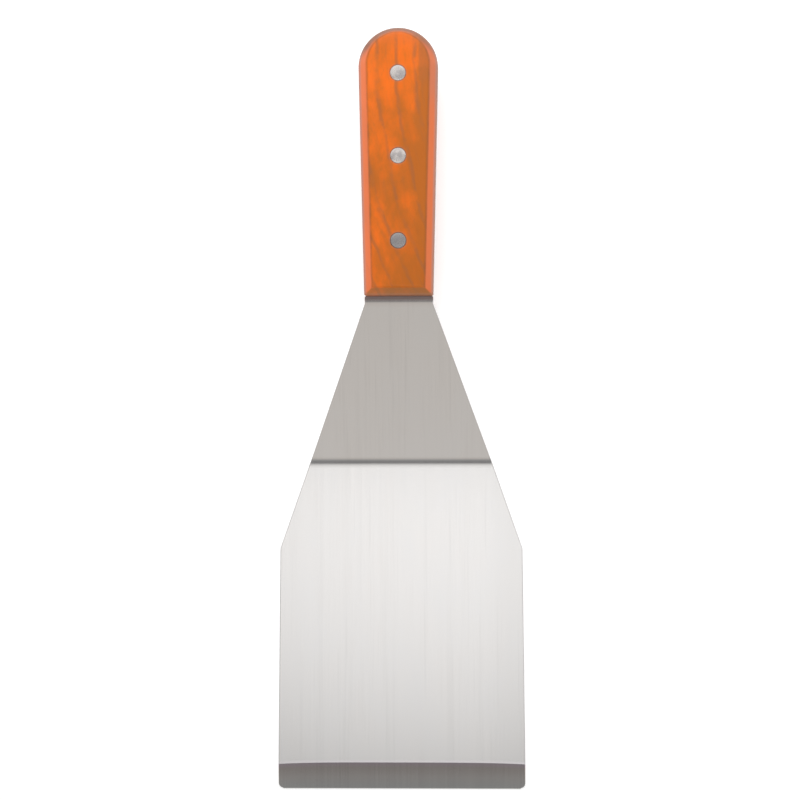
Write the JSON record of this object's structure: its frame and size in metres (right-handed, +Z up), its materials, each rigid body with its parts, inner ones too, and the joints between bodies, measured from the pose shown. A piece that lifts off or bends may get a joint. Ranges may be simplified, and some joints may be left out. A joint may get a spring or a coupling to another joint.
{
  "type": "griddle turner",
  "caption": "Offset griddle turner with a wide bevelled steel blade, a tapered sloping neck and a riveted wooden grip, for lifting and scraping.",
  "frame": {"origin": "centre of the bounding box in plan, on the plane that the blade's flat underside rests on", "axes": "+Y from the blade's front edge to the grip's butt, +Z up out of the blade's upper face, X across the blade, with the part symmetric about x = 0"},
  "size_m": [0.1156, 0.351, 0.0373],
  "materials": {
    "blade_steel": "satin, fine brushed grain along the blade, bright ground bevel",
    "handle_wood": "orange-brown stain under clear lacquer, grain along the grip",
    "rivet_metal": "smooth, lightly polished heads"
  },
  "bodies": {
    "root": {"blade": "blade_steel", "top_scale": "handle_wood", "bottom_scale": "handle_wood", "butt_rivet_stud": "rivet_metal", "butt_rivet_socket": "rivet_metal", "middle_rivet_stud": "rivet_metal", "middle_rivet_socket": "rivet_metal", "front_rivet_stud": "rivet_metal", "front_rivet_socket": "rivet_metal"}
  },
  "joints": []
}
